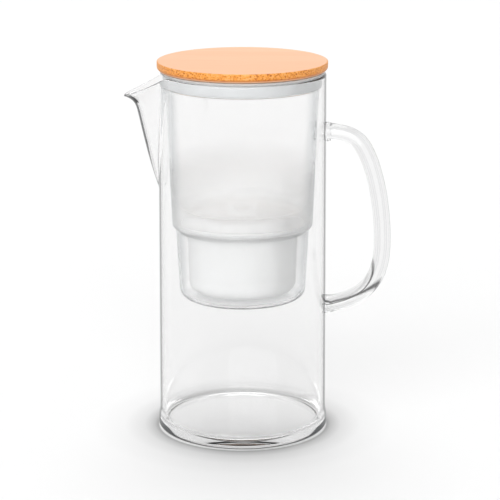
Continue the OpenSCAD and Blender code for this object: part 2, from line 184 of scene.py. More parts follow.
class Finishes(bpy.types.PropertyGroup):
    glass: colour("Glass", "Clear glass seen square on", "#fbfbfb")
    # Painted shade: the glass's dark tone where it is seen along its wall stands in for the dark room
    # that it reflects
    glass_edge_painted_shade: colour("Glass edge", "Clear glass seen along its wall", "#181a1b")
    rod: colour("Rod", "Glass of the handle seen square on", "#f5f5f5")
    # Painted reflection and shade: the rod's fine grey lines and its dark edge stand in for the room
    # that the rod bends and reflects
    rod_line: colour("Rod lines", "Fine lines along the handle", "#d6d6d7")
    rod_edge_painted_shade: colour("Rod edge", "Glass of the handle seen along its side", "#3c3e3f")
    hopper: colour("Hopper", "Translucent copolyester", "#ffffff")
    # Painted shade: the hopper's grey tone where it is seen along its wall stands in for the dark room
    # that it reflects
    hopper_edge_painted_shade: colour("Hopper edge", "Copolyester seen along its wall", "#a4abaf")
    silicone: colour("Silicone", "Milky silicone of the band and the ring", "#d2d4d5")
    grommet: colour("Grommet", "Grey silicone of the outlet's grommet", "#7e8184")
    polypropylene: colour("Polypropylene", "White cup and cap of the cartridge", "#f4f5f5")
    felt: colour("Felt", "Polyester felt", "#efefea")
    resin: colour("Resin", "Ion-exchange beads", "#cda95c")
    carbon: colour("Carbon", "Activated carbon", "#141414")
    carbon_facet: colour("Carbon facets", "Palest granules of the carbon", "#303030")
    # The face's pale tones hold painted light from above, and the edge's deep orange is partly oil and
    # partly painted shade
    bamboo_light: colour("Bamboo, pale", "Pale strips of the sanded face", "#f4c39e")
    bamboo_dark: colour("Bamboo, dark", "Dark strips of the sanded face", "#ecb285")
    bamboo_edge: colour("Bamboo edge", "Oiled turned edge", "#ee9a31")
    bamboo_pore: colour("Bamboo pores", "Fibre bundles cut by the turning tool", "#a64c0e")
    bamboo_glint: colour("Bamboo glint", "Palest fibres of the turned edge", "#f0b068")
    floor: colour("Floor", "Plain pale floor", "#eaeaea")


class StageSettings(bpy.types.PropertyGroup):
    distance: length("Distance", "Distance of the camera from the jug's axis", 1500)
    height: length("Height", "Height of the camera", 522.94)
    lens: FloatProperty(name="Lens", description="Focal length in millimetres", default=149.5)
    azimuth: FloatProperty(
        name="Azimuth", description="Turn of the camera round the jug", default=math.radians(4),
        subtype="ANGLE", unit="ROTATION",
    )
    yaw: FloatProperty(
        name="Yaw", description="Turn of the camera off the axis", default=math.radians(0.212),
        subtype="ANGLE", unit="ROTATION",
    )
    pitch: FloatProperty(
        name="Pitch", description="Tilt of the camera under the horizon",
        default=math.radians(14.487), subtype="ANGLE", unit="ROTATION",
    )
    ambient: FloatProperty(
        name="Ambient", description="Strength of the studio's even light", default=0.6
    )
    key: FloatProperty(
        name="Key", description="Strength of the key light, above and behind", default=1.1
    )
    fill: FloatProperty(name="Fill", description="Strength of the soft front light", default=1.9)


def arc(r, z, radius, start, end, steps=8):
    """Rows on a circle round the point (r, z), from the start angle to the end angle in degrees."""
    a = np.radians(np.linspace(start, end, steps + 1))
    return np.column_stack([r + radius * np.cos(a), z + radius * np.sin(a)])


def soften(corners, steps=5):
    """Profile with each corner (r, z, f) rounded by a fillet of radius f.

    The fillet's ends lie f / tan(half the corner's angle) along both sides, its points are a circular
    arc between them, and a guard point beyond each end keeps the flat sides' shading flat."""
    c = np.array(corners, float)
    rows = []
    for i in range(len(c)):
        p, q, n = c[i - 1, :2], c[i, :2], c[(i + 1) % len(c), :2]
        f = c[i, 2]
        u = (p - q) / np.linalg.norm(p - q)
        v = (n - q) / np.linalg.norm(n - q)
        if f <= 0:
            rows.append(np.array([q + u * CRISP, q, q + v * CRISP]))
            continue
        half = math.acos(np.clip(u @ v, -1, 1)) / 2
        cut = f / math.tan(half)
        centre = q + (u + v) / np.linalg.norm(u + v) * f / math.sin(half)
        s, e = q + u * cut - centre, q + v * cut - centre
        t = np.linspace(0, 1, steps + 1)[:, None]
        bend = math.acos(np.clip(s @ e / f**2, -1, 1))
        mid = (np.sin((1 - t) * bend) * s + np.sin(t * bend) * e) / math.sin(bend)
        guard = 0.35 * f
        rows += [(q + u * (cut + guard))[None], centre + mid, (q + v * (cut + guard))[None]]
    return np.vstack(rows)


def put_mesh(name, verts, faces, body, stands_for, slot_name, material, clear=False):
    """Makes the mesh a smooth object with its material, that rides on its body and stands for its node.

    A clear piece lets the lamps through, as a thin clear wall does."""
    mesh = bpy.data.meshes.new(name)
    mesh.from_pydata(verts.tolist(), [], [f for part in faces for f in part.tolist()])
    mesh.validate()
    mesh.shade_smooth()
    mesh.materials.append(material)
    obj = bpy.data.objects.new(name, mesh)
    bpy.context.scene.collection.objects.link(obj)
    obj.visible_shadow = not clear
    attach(obj, body)
    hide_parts(stands_for)
    return obj


def mark(obj, name, middle, width, inside=0.0, below=-1.0):
    """Stores a vertex attribute that grows from 0 to 1 over a width round a distance from the axis.

    Where the surface faces the axis, the value for the inside is added. Where it faces away from the
    axis, the attribute also grows to 1.4 down through the 2 mm round the height below."""
    count = len(obj.data.vertices)
    co, normal = np.empty(count * 3), np.empty(count * 3)
    obj.data.vertices.foreach_get("co", co)
    obj.data.vertices.foreach_get("normal", normal)
    flat, way = co.reshape(-1, 3)[:, :2], normal.reshape(-1, 3)[:, :2]
    away = np.hypot(*flat.T)
    out = (flat * way).sum(1) / np.maximum(away, 1e-9)
    low = 1.4 * np.clip((below - co[2::3]) / (2 * MM) + 0.5, 0, 1) * (out > 0.15)
    share = np.maximum(np.clip((away - middle) / width + 0.5, 0, 1), low)
    share += inside * (out < 0)
    obj.data.attributes.new(name, "FLOAT", "POINT").data.foreach_set("value", share)


def skin_faces(rows, cols, closed, capped):
    """Faces of a grid that is closed round its columns: quads between rows, and fans to the poles.

    Vertex number is row * cols + col. With capped ends the poles are the two vertices after the grid;
    closed joins the last row to the first."""
    i = np.arange(rows if closed else rows - 1)[:, None] * cols
    j = np.arange(cols)[None]
    k = (j + 1) % cols
    up = (i + cols) % (rows * cols)
    faces = [np.stack([i + j, i + k, up + k, up + j], -1).reshape(-1, 4)]
    if capped:
        j, k, top = j[0], k[0], (rows - 1) * cols
        faces.append(np.stack([np.full(cols, rows * cols), k, j], -1))
        faces.append(np.stack([np.full(cols, rows * cols + 1), top + j, top + k], -1))
    return faces


def lathe(profile, segments=SEGMENTS):
    """Surface of revolution: the point (r, z) of the profile goes to (r cos t, r sin t, z).

    A profile that starts and ends on the axis is closed by poles, and any other joins its own start."""
    capped = profile[0, 0] < 1e-9 and profile[-1, 0] < 1e-9
    t = np.linspace(0, 2 * np.pi, segments, endpoint=False)
    ring = profile[1:-1] if capped else profile
    grid = np.stack(
        [ring[:, :1] * np.cos(t), ring[:, :1] * np.sin(t), np.repeat(ring[:, 1:], segments, 1)],
        -1,
    )
    verts = grid.reshape(-1, 3)
    if capped:
        verts = np.vstack([verts, [[0, 0, profile[0, 1]], [0, 0, profile[-1, 1]]]])
    return verts, skin_faces(len(ring), segments, not capped, capped)


def wall_radius(s, z):
    """Outer radius of the glass: it draws in evenly from the swell's top to the rim."""
    share = np.clip((z - s.swell_top) / (s.height - s.wall / 2 - s.swell_top), 0, 1)
    return s.body_r + (s.mouth_r - s.body_r) * share


def spout_fold(angle, half_width):
    """Share of the spout at an angle off its fold: a raised cosine to the power 1.6, and 0 past the
    half width."""
    cosine = (1 + np.cos(np.pi * angle / half_width)) / 2
    return np.where(np.abs(angle) < half_width, cosine**1.6, 0)


def jug_surface(s):
    """Blown jug: one closed profile for each angle t, so the point is (r(t, k), t, z(t, k)) for row k.

    The rows run out under the floor, round the foot, up the wall, over the half-round rim and down
    inside. Above the spout's foot the wall is pushed out by reach * slope(height) * fold(angle), and
    the rim dips by dip * fold(angle) ^ 0.7, so the spout grows out of the wall with no seam."""
    half = s.spout_half_angle
    near = np.linspace(-half * 1.05, half * 1.05, 141)
    far = np.linspace(half * 1.05, 2 * np.pi - half * 1.05, 200)[1:-1]
    t = np.concatenate([near, far])
    angle = np.where(t > np.pi, t - 2 * np.pi, t)
    rim = s.wall / 2
    foot_z = s.height - s.spout_drop
    top = s.height - s.spout_dip * spout_fold(angle, half) ** 0.7 - rim
    # Up the spout it widens from 0.38 of its width, and most of its reach comes evenly before the
    # last few millimetres fold out
    share = (1 - np.cos(np.pi * np.linspace(0, 1, 49))) / 2
    z = foot_z + (top - foot_z) * share[:, None]
    width = half * (0.38 + 0.62 * share[:, None] ** 0.8)
    slope = (0.7 * share**0.8 + 0.3 * share**26)[:, None]
    r = wall_radius(s, z) + s.spout_reach * slope * spout_fold(angle, width)

    def level_rows(profile):
        """Rows with the same (r, z) at every angle."""
        return [np.repeat(profile[:, k : k + 1], len(t), 1) for k in (0, 1)]

    foot_r = s.body_r + s.foot_swell
    flat = np.column_stack([DISC * (foot_r - s.foot_round), np.zeros(len(DISC))])
    edge = arc(foot_r - s.foot_round, s.foot_round, s.foot_round, -90, 0, 12)[1:]
    u = np.linspace(0, 1, 13)
    swell_z = s.foot_round + 3 * MM + (s.swell_top - s.foot_round - 3 * MM) * u
    swell = np.column_stack([s.body_r + s.foot_swell * (1 + np.cos(np.pi * u)) / 2, swell_z])
    wall_z = np.linspace(s.swell_top, foot_z, 24)[1:-1]
    wall = np.column_stack([wall_radius(s, wall_z), wall_z])
    q = np.radians(np.linspace(0, 180, 13))[1:-1, None]
    lip_r = r[-1] - rim + rim * np.cos(q)
    lip_z = z[-1] + rim * np.sin(q)
    well_z = np.linspace(s.floor + s.floor_round, foot_z, 27)[1:-1][::-1]
    well = np.column_stack([wall_radius(s, well_z) - s.wall, well_z])
    bowl_r = s.body_r - s.wall - s.floor_round
    bowl = arc(bowl_r, s.floor + s.floor_round, s.floor_round, 0, -90, 12)
    disc = np.column_stack([bowl_r * DISC[-2::-1], np.full(len(DISC) - 1, s.floor)])
    parts = [
        level_rows(flat), level_rows(edge), level_rows(swell), level_rows(wall),
        [r, z], [lip_r, lip_z], [r[::-1] - s.wall, z[::-1]],
        level_rows(well), level_rows(bowl), level_rows(disc),
    ]
    radius = np.vstack([p[0] for p in parts])
    height = np.vstack([p[1] for p in parts])
    grid = np.stack([-radius * np.cos(t), -radius * np.sin(t), height], -1)
    verts = np.vstack([grid.reshape(-1, 3), [[0, 0, 0], [0, 0, s.floor]]])
    return verts, skin_faces(len(radius), len(t), False, True)


def cubic(p, t):
    """Points of the cubic curve with the four corners p at the shares t."""
    t = t[:, None]
    return (1 - t) ** 3 * p[0] + 3 * t * (1 - t) ** 2 * p[1] + 3 * t**2 * (1 - t) * p[2] + t**3 * p[3]


def rod_line(s):
    """Centre line of the handle in the XZ plane: three cubic curves that meet with one tangent.

    Their corners are shares of the reach past the wall and of the span between the welds."""
    across = s.handle_reach
    root = s.mouth_r - 2 * MM
    out = s.body_r + across
    span = s.handle_top - s.handle_foot
    lean = span * np.array([0.56, -0.83])
    shoulder = np.array([out - 0.375 * across, s.handle_top - 0.08 * span])
    belly = np.array([out, s.handle_foot + 0.37 * span])
    foot = np.array([root, s.handle_foot])
    head = np.array([root, s.handle_top])
    runs = [
        (head, head + [0.435 * across, 0], shoulder - 0.06 * lean, shoulder),
        (shoulder, shoulder + 0.106 * lean, belly + [0, 0.243 * span], belly),
        (belly, belly - [0, 0.227 * span], foot + [0.773 * across, 0.033 * span], foot),
    ]
    t = np.linspace(0, 1, 60)[:-1]
    return np.vstack([cubic(run, t) for run in runs] + [foot])


def handle_surface(s, sides=64):
    """Glass rod carried along its bent centre line. Near each weld its radius is the rod's plus
    swell * exp(-off / fade), where off is the distance from the wall. Points that would be inside the
    wall are moved out along X onto it, and the two ends are discs that lie on the wall."""
    line = rod_line(s)
    off = line[:, 0] - wall_radius(s, line[:, 1])
    line, off = line[off > WELD_START], off[off > WELD_START]
    along = np.gradient(line, axis=0)
    along /= np.linalg.norm(along, axis=1)[:, None]
    radius = s.rod_r + s.weld_swell * np.exp(-off / WELD_FADE)
    q = -np.linspace(0, 2 * np.pi, sides, endpoint=False)
    rings = len(DISC)
    first = np.column_stack([np.repeat(line[:1], rings, 0), radius[0] * DISC])
    last = np.column_stack([np.repeat(line[-1:], rings, 0), radius[-1] * DISC[::-1]])
    spine = np.vstack([first, np.column_stack([line, radius]), last])
    way = np.vstack([np.repeat(along[:1], rings, 0), along, np.repeat(along[-1:], rings, 0)])
    x = spine[:, :1] - spine[:, 2:] * np.cos(q) * way[:, 1:]
    y = spine[:, 2:] * np.sin(q) * np.ones((len(spine), 1))
    z = spine[:, 1:2] + spine[:, 2:] * np.cos(q) * way[:, :1]
    on_wall = np.sqrt(wall_radius(s, z) ** 2 - y**2) + WELD_GAP
    x[:rings], x[-rings:] = on_wall[:rings], on_wall[-rings:]
    x = np.maximum(x, on_wall)
    grid = np.stack([x, y, z], -1)
    poles = [[wall_radius(s, line[k, 1]) + WELD_GAP, 0, line[k, 1]] for k in (0, -1)]
    verts = np.vstack([grid.reshape(-1, 3), poles])
    return verts, skin_faces(len(spine), sides, False, True)


def hopper_profile(s):
    """Outline of the hopper: bore, rounded well, slanted shoulder, basin, beaded collar and flange."""
    top = s.flange_z + s.flange
    inner = s.well_foot_r - s.wall
    ledge = s.shoulder_z + s.wall / 3
    collar_ir = s.collar_r - s.wall
    return soften(
        [
            (s.bore_r, s.well_z, 0),
            (s.well_foot_r, s.well_z, s.well_round),
            (s.well_top_r, s.shoulder_z - s.shoulder, 0.5 * MM),
            (s.basin_foot_r, s.shoulder_z, 1.2 * MM),
            (s.collar_r, s.collar_z, 0),
            (s.collar_r + 0.5 * MM, s.collar_z + 0.1 * MM, 0.1 * MM),
            (s.collar_r + 0.7 * MM, s.collar_z + 0.65 * MM, 0.2 * MM),
            (s.collar_r + 0.5 * MM, s.collar_z + 1.2 * MM, 0.1 * MM),
            (s.collar_r, s.band_z, 0),
            (s.collar_r, s.flange_z, 0),
            (s.flange_r, s.flange_z, 0.8 * MM),
            (s.flange_r, top, 0.8 * MM),
            (collar_ir, top, 0.6 * MM),
            (collar_ir, s.collar_z, 1.5 * MM),
            (s.basin_foot_r - s.wall, ledge, 0.6 * MM),
            (s.well_top_r - s.wall, ledge, 0.5 * MM),
            (inner, s.well_z + s.well_floor, s.well_round - s.wall),
            (s.bore_r, s.well_z + s.well_floor, 0),
        ]
    )


def band_profile(s):
    """Outline of the mouth's silicone band: a plain strip with soft edges."""
    out = s.collar_r + s.band
    return soften(
        [
            (s.collar_r, s.band_z, 0),
            (out, s.band_z, 0.6 * MM),
            (out, s.flange_z, 0.6 * MM),
            (s.collar_r, s.flange_z, 0),
        ]
    )


def grommet_profile(s):
    """Outline of the outlet's grommet: a groove grips the edge of the well's floor."""
    lip, grip, inner = 0.9 * MM, 1.1 * MM, s.bore_r - 1.5 * MM
    top = s.well_z + s.well_floor
    return soften(
        [
            (inner, s.well_z - lip, 0.3 * MM),
            (s.bore_r + grip, s.well_z - lip, 0.5 * MM),
            (s.bore_r + grip, s.well_z, 0.1 * MM),
            (s.bore_r, s.well_z, 0),
            (s.bore_r, top, 0),
            (s.bore_r + grip, top, 0.1 * MM),
            (s.bore_r + grip, top + lip, 0.5 * MM),
            (inner, top + lip, 0.3 * MM),
        ]
    )


def cup_profile(s):
    """Outline of the cartridge's cup: spigot, rounded foot, tapered wall and flat brim."""
    top = s.brim_z + s.brim
    floor = s.cup_z + s.wall
    return soften(
        [
            (s.bore_r, s.spigot_z, 0.3 * MM),
            (s.spigot_r, s.spigot_z, 0.4 * MM),
            (s.spigot_r, s.cup_z, 0.5 * MM),
            (s.foot_r, s.cup_z, s.cup_round),
            (s.cup_r, s.brim_z, 0.8 * MM),
            (s.brim_r, s.brim_z, 0.4 * MM),
            (s.brim_r, top, 0.5 * MM),
            (s.cup_r - s.wall, top, 0.4 * MM),
            (s.foot_r - s.wall, floor, s.cup_round - s.wall),
            (s.strainer_r, floor, 0.1 * MM),
            (s.strainer_r, floor - s.strainer, 0),
            (s.bore_r, floor - s.strainer, 0.1 * MM),
        ]
    )


def disc_profile(low_r, high_r, low, high, edge):
    """Outline of a filling of the cup from pole to pole: two flat faces and a side with soft edges."""
    shares = np.array([0, 0.35, 0.7])
    side = soften([(0, low, 0), (low_r, low, edge), (high_r, high, edge), (0, high, 0)])[3:-3]
    under = np.column_stack([low_r * shares, np.full(3, low)])
    face = np.column_stack([high_r * shares[::-1], np.full(3, high)])
    return np.vstack([under, side, face])


def board_profile(s):
    """Outline of the lid's board from pole to pole: turned lower edge and eased upper edge."""
    top = s.board_z + s.board
    low = arc(s.board_r - s.turn, s.board_z + s.turn, s.turn, -90, 0, 14)
    high = arc(s.board_r - s.ease, top - s.ease, s.ease, 0, 90, 7)
    reach_in = (s.board_r - s.turn) * np.array([0, 0.25, 0.5, 0.75, 0.9, 0.98])
    under = np.column_stack([reach_in, np.full(6, s.board_z)])
    face_r = (s.board_r - s.ease) * np.array([0.995, 0.97, 0.8, 0.6, 0.4, 0.2, 0])
    face = np.column_stack([face_r, np.full(7, top)])
    side = np.column_stack([np.full(5, s.board_r), np.linspace(low[-1, 1], high[0, 1], 7)[1:-1]])
    return np.vstack([under, low, side, high, face])


def plug_profile(s):
    """Outline of the plug under the board from pole to pole, with the ring's groove."""
    top = s.board_z
    inner = s.plug_r - s.groove
    body = soften(
        [
            (s.plug_r, s.plug_z, 1 * MM),
            (s.plug_r, s.ring_z, 0.2 * MM),
            (inner, s.ring_z, 0.1 * MM),
            (inner, s.ring_z + s.ring, 0.1 * MM),
            (s.plug_r, s.ring_z + s.ring, 0.2 * MM),
            (s.plug_r, top, 0),
            (0, top, 0),
            (0, s.plug_z, 0),
        ]
    )
    under = np.column_stack([s.plug_r * np.array([0, 0.3, 0.6, 0.9]), np.full(4, s.plug_z)])
    return np.vstack([under, body[:-1]])


def ring_profile(s):
    """Outline of the lid's sealing ring: a foot in the groove and a soft lip."""
    inner = s.plug_r - s.groove
    mid = s.ring_z + s.ring / 2
    return soften(
        [
            (inner, s.ring_z, 0.2 * MM),
            (s.plug_r, s.ring_z, 0.2 * MM),
            (s.ring_r, mid, 0.4 * MM),
            (s.plug_r, s.ring_z + s.ring, 0.2 * MM),
            (inner, s.ring_z + s.ring, 0.2 * MM),
        ]
    )


def link(tree, node, links):
    """Joins outputs to the node's inputs, which are named or numbered."""
    for key, output in links.items():
        tree.links.new(output, node.inputs[key])


def add(tree, kind, values=None, links=None, stops=(), **settings):
    """Adds a shader node with its settings, constant inputs, links and colour ramp stops."""
    node = tree.nodes.new("ShaderNode" + kind)
    for key, value in settings.items():
        setattr(node, key, value)
    for key, value in (values or {}).items():
        node.inputs[key].default_value = value
    link(tree, node, links or {})
    if stops:
        elements = node.color_ramp.elements
        while len(elements) < len(stops):
            elements.new(0.5)
        for element, (place, tone) in zip(elements, stops):
            element.position = place
            element.color = rgba(tone)
    return node


def surface(name, values):
    """New material: gives it with its node tree, its Principled shader, which takes the constants, and
    the outputs of its texture coordinates."""
    material = bpy.data.materials.new(name)
    material.use_nodes = True
    tree = material.node_tree
    tree.nodes.clear()
    shader = add(tree, "BsdfPrincipled", values)
    add(tree, "OutputMaterial", links={"Surface": shader.outputs["BSDF"]})
    return material, tree, shader, add(tree, "TexCoord").outputs


def fire_polished(name, stops, shift=None):
    """Fire-polished borosilicate glass: the stops give its tone from face on (0) to along its wall (1),
    and its darker tones are painted shade and painted reflection of a dark room.

    Slow waves of the drawn tube bend what lies behind it, and an attribute may widen the painted dark
    edge."""
    material, tree, shader, at = surface(
        name,
        {"IOR": 1.47, "Roughness": 0.0, "Transmission Weight": 1.0, "Specular IOR Level": 0.35},
    )
    facing = add(tree, "LayerWeight", {"Blend": 0.5}).outputs["Facing"]
    if shift:
        drawn = add(tree, "Attribute", attribute_name=shift).outputs["Fac"]
        facing = add(
            tree, "Math", {1: EDGE_SHIFT}, {0: drawn, 2: facing}, operation="MULTIPLY_ADD"
        ).outputs[0]
    tone = add(tree, "ValToRGB", links={"Fac": facing}, stops=stops).outputs["Color"]
    # Waves about 30 mm long
    waves = add(tree, "TexNoise", {"Scale": 33.0, "Detail": 1.0}, {"Vector": at["Object"]})
    bump = add(tree, "Bump", {"Strength": 0.02, "Distance": 0.4 * MM}, {"Height": waves.outputs["Fac"]})
    link(tree, shader, {"Base Color": tone, "Normal": bump.outputs["Normal"]})
    return material, tree, shader, at, tone


def blown_glass(tones):
    """The jug: clear face on, with a thin dark line of painted shade where the eye looks along its
    wall.
    """
    stops = [(0.0, tones.glass), (0.755, tones.glass), (0.81, tones.glass_edge_painted_shade)]
    return fire_polished("borosilicate_glass_blown", stops, "drawn")[0]


def rod_glass(tones):
    """The handle: fine grey lines along its length are painted reflection of the room that a solid rod
    bends, and in the lower bend a painted dark line runs where the glass faces a little upwards."""
    clear, line, edge = tones.rod, tones.rod_line, tones.rod_edge_painted_shade
    lines = [
        (0.0, clear), (0.04, clear), (0.075, line), (0.11, clear), (0.28, clear),
        (0.36, line), (0.44, clear), (0.75, clear), (0.92, edge),
    ]
    material, tree, shader, at, tone = fire_polished("borosilicate_glass_drawn_rod", lines)
    place = add(tree, "SeparateXYZ", links={"Vector": at["Object"]})
    way = add(tree, "SeparateXYZ", links={"Vector": at["Normal"]})
    # The painted dark line fades in from 165 down to 120 mm above the foot
    low = add(
        tree, "MapRange", {"From Min": 165 * MM, "From Max": 120 * MM},
        {"Value": place.outputs["Z"]},
    )
    painted_shade_streak = add(
        tree, "ValToRGB", links={"Fac": way.outputs["Z"]},
        stops=[
            (0.0, 1.0), (0.12, 1.0), (0.17, 0.01), (0.22, 0.01), (0.28, 1.0), (0.5, 0.6), (0.6, 1.0),
        ],
    )
    streaked = add(
        tree, "Mix",
        links={"Factor": low.outputs["Result"], 6: tone, 7: painted_shade_streak.outputs["Color"]},
        data_type="RGBA", blend_type="MULTIPLY",
    )
    link(tree, shader, {"Base Color": streaked.outputs[2]})
    return material


def hopper_copolyester(tones):
    """Copolyester, injection moulded: polished at the collar, and a spark-eroded satin in basin and
    well that blurs what is behind it to a milky grey."""
    material, tree, shader, at = surface("translucent_copolyester_moulded", {"IOR": 1.55})
    height = add(tree, "SeparateXYZ", links={"Vector": at["Object"]}).outputs["Z"]
    share = add(tree, "Math", {1: 1 / HOPPER_SPAN}, {0: height}, operation="MULTIPLY").outputs[0]
    # Stops for roughness, clearness and shade: the well ends at 0.51 and the satin basin at 0.64, and
    # the polished wall above them meets the thick collar at 0.88
    rough, clear, dense = (
        add(tree, "ValToRGB", links={"Fac": share}, stops=stops).outputs["Color"]
        for stops in (
            [
                (0.38, 0.02), (0.41, 0.05), (0.5, 0.05), (0.54, 0.16),
                (0.64, 0.18), (0.7, 0.02), (0.86, 0.02), (0.88, 0.1),
            ],
            [
                (0.38, 0.95), (0.41, 0.88), (0.51, 0.88), (0.54, 0.7),
                (0.64, 0.8), (0.7, 0.99), (0.86, 0.99), (0.89, 0.5),
            ],
            [(0.51, 1.0), (0.54, 0.94), (0.62, 0.94), (0.7, 1.0)],
        )
    )
    # Painted shade: the tone greys where the wall is seen edge on, in place of the dark room it
    # reflects
    facing = add(tree, "LayerWeight", {"Blend": 0.5}).outputs["Facing"]
    tone = add(
        tree, "ValToRGB", links={"Fac": facing},
        stops=[(0.0, tones.hopper), (0.5, tones.hopper), (0.92, tones.hopper_edge_painted_shade)],
    )
    toned = add(
        tree, "Mix", {"Factor": 1.0}, {6: tone.outputs["Color"], 7: dense},
        data_type="RGBA", blend_type="MULTIPLY",
    )
    # Grain of the spark-eroded mould, 0.5 mm here so that it shows
    grain = add(tree, "TexNoise", {"Scale": 2000.0, "Detail": 2.0}, {"Vector": at["Object"]})
    bump = add(tree, "Bump", {"Strength": 0.05, "Distance": 0.1 * MM}, {"Height": grain.outputs["Fac"]})
    link(
        tree, shader,
        {
            "Base Color": toned.outputs[2], "Roughness": rough, "Transmission Weight": clear,
            "Normal": bump.outputs["Normal"],
        },
    )
    return material


def moulded(name, tone, roughness, grain_mm, depth, subsurface=0.0, ior=1.49):
    """Moulded rubber or plastic: a fine grain breaks up the gloss, and the tone drifts a little."""
    material, tree, shader, at = surface(
        name,
        {"IOR": ior, "Subsurface Weight": subsurface, "Subsurface Radius": (4 * MM, 4 * MM, 4 * MM)},
    )
    # The tone and the gloss drift over about 17 mm
    cloud = add(
        tree, "TexNoise", {"Scale": 60.0, "Detail": 3.0}, {"Vector": at["Object"]}
    ).outputs["Fac"]
    low, high = np.array(tone) * 0.965, np.clip(np.array(tone) * 1.02, 0, 1)
    drift = add(tree, "ValToRGB", links={"Fac": cloud}, stops=[(0.3, low), (0.7, high)])
    gloss = add(
        tree, "MapRange", {"To Min": roughness - 0.05, "To Max": roughness + 0.05},
        {"Value": cloud},
    )
    grain = add(
        tree, "TexNoise", {"Scale": 1 / (grain_mm * MM), "Detail": 2.0}, {"Vector": at["Object"]}
    )
    bump = add(
        tree, "Bump", {"Strength": depth, "Distance": 0.2 * MM},
        {"Height": grain.outputs["Fac"]},
    )
    link(
        tree, shader,
        {
            "Base Color": drift.outputs["Color"], "Roughness": gloss.outputs["Result"],
            "Normal": bump.outputs["Normal"],
        },
    )
    return material


def granules(name, light, dark, size_mm, roughness, depth):
    """Loose grains of one size: each Voronoi cell is a grain with its own tone and a domed bump."""
    material, tree, shader, at = surface(name, {"Roughness": roughness})
    cells = add(tree, "TexVoronoi", {"Scale": 1 / (size_mm * MM)}, {"Vector": at["Object"]})
    split = add(tree, "SeparateColor", links={"Color": cells.outputs["Color"]})
    tone = add(tree, "ValToRGB", links={"Fac": split.outputs["Red"]}, stops=[(0.1, dark), (0.9, light)])
    bump = add(
        tree, "Bump", {"Strength": depth, "Distance": size_mm * MM / 2},
        {"Height": cells.outputs["Distance"]}, invert=True,
    )
    link(tree, shader, {"Base Color": tone.outputs["Color"], "Normal": bump.outputs["Normal"]})
    return material


def needled_felt(tone):
    """Polyester felt, needled: short fibres lie every way, so it is matt with a faint fuzz of shade."""
    material, tree, shader, at = surface(
        "polyester_felt_needled",
        {"Roughness": 0.95, "Sheen Weight": 0.4, "Specular IOR Level": 0.2},
    )
    # Fibres 0.3 mm apart
    fibres = add(
        tree, "TexNoise", {"Scale": 3300.0, "Detail": 4.0, "Distortion": 2.0},
        {"Vector": at["Object"]},
    ).outputs["Fac"]
    shade = add(
        tree, "ValToRGB", links={"Fac": fibres},
        stops=[(0.3, np.array(tone) * 0.8), (0.6, tone)],
    )
    bump = add(tree, "Bump", {"Strength": 0.6, "Distance": 0.3 * MM}, {"Height": fibres})
    link(tree, shader, {"Base Color": shade.outputs["Color"], "Normal": bump.outputs["Normal"]})
    return material


def oiled_bamboo(tones):
    """Laminated bamboo, fine sanded and oiled: strips 20 mm wide run across the face with fine fibres
    along them. The turned edge is a deeper orange with dark pores, partly as it drinks more oil and
    partly as painted shade, and the face's pale tone is partly painted light from above."""
    material, tree, shader, at = surface(
        "laminated_bamboo_oiled", {"IOR": 1.45, "Coat Weight": 0.12, "Coat Roughness": 0.35}
    )
    across = add(tree, "SeparateXYZ", links={"Vector": at["Object"]}).outputs["Y"]
    # A strip's number is its place across the board over 20 mm, and gives its own tone
    strip = add(tree, "Math", {1: 1 / (20 * MM)}, {0: across}, operation="MULTIPLY")
    number = add(tree, "Math", links={0: strip.outputs[0]}, operation="FLOOR")
    shade = add(
        tree, "TexWhiteNoise", links={"W": number.outputs[0]}, noise_dimensions="1D"
    ).outputs["Value"]
    # Fibre bundles 0.8 mm across and 60 mm long run along X
    along = add(
        tree, "Mapping", {"Scale": (16.0, 1250.0, 1250.0)}, {"Vector": at["Object"]}
    ).outputs["Vector"]
    fibre = add(
        tree, "TexNoise", {"Scale": 1.0, "Detail": 3.0, "Roughness": 0.6},
        {"Vector": along},
    ).outputs["Fac"]
    # Their cut ends on the turned edge, 1.1 mm apart so that they show
    dots = add(
        tree, "TexNoise", {"Scale": 900.0, "Detail": 1.0}, {"Vector": at["Object"]}
    ).outputs["Fac"]
    # The face and the turned edge: part of the fibres' value gives way to the strip's or the dots'
    looks = []
    for other, part, stops in (
        (shade, 0.15, [(0.3, tones.bamboo_dark), (0.7, tones.bamboo_light)]),
        (dots, 0.4, [(0.4, tones.bamboo_pore), (0.49, tones.bamboo_edge), (0.6, tones.bamboo_glint)]),
    ):
        less = add(tree, "Math", {1: part}, {0: other}, operation="MULTIPLY").outputs[0]
        links = {0: fibre, 2: less}
        both = add(tree, "Math", {1: 1 - part}, links, operation="MULTIPLY_ADD")
        look = add(tree, "ValToRGB", links={"Fac": both.outputs[0]}, stops=stops)
        looks.append(look.outputs["Color"])
    face, side = looks
    # Painted shade: the lower turn, which faces down, is darkened towards the pore tone
    lean = add(tree, "SeparateXYZ", links={"Vector": at["Normal"]})
    lower_turn_shade = add(
        tree, "MapRange", {"From Min": 0.05, "From Max": -0.6, "To Max": 0.75},
        {"Value": lean.outputs["Z"]},
    )
    side_with_painted_shade = add(
        tree, "Mix", {7: rgba(tones.bamboo_pore)},
        {"Factor": lower_turn_shade.outputs["Result"], 6: side}, data_type="RGBA",
    )
    turned = add(tree, "Attribute", attribute_name="turned").outputs["Fac"]
    tone = add(tree, "Mix", links={"Factor": turned, 6: face, 7: side_with_painted_shade.outputs[2]}, data_type="RGBA")
    gloss = add(tree, "MapRange", {"To Min": 0.42, "To Max": 0.6}, {"Value": fibre})
    bump = add(tree, "Bump", {"Strength": 0.25, "Distance": 0.2 * MM}, {"Height": fibre})
    link(
        tree, shader,
        {
            "Base Color": tone.outputs[2], "Roughness": gloss.outputs["Result"],
            "Normal": bump.outputs["Normal"],
        },
    )
    return material


def seen_ray(tree, light):
    """1 for a ray from the camera, off a gloss or through glass, and 0 for one that only lights."""
    seen = light.outputs["Is Camera Ray"]
    for kind in ("Is Transmission Ray", "Is Glossy Ray"):
        links = {0: seen, 1: light.outputs[kind]}
        seen = add(tree, "Math", links=links, operation="MAXIMUM").outputs[0]
    return seen


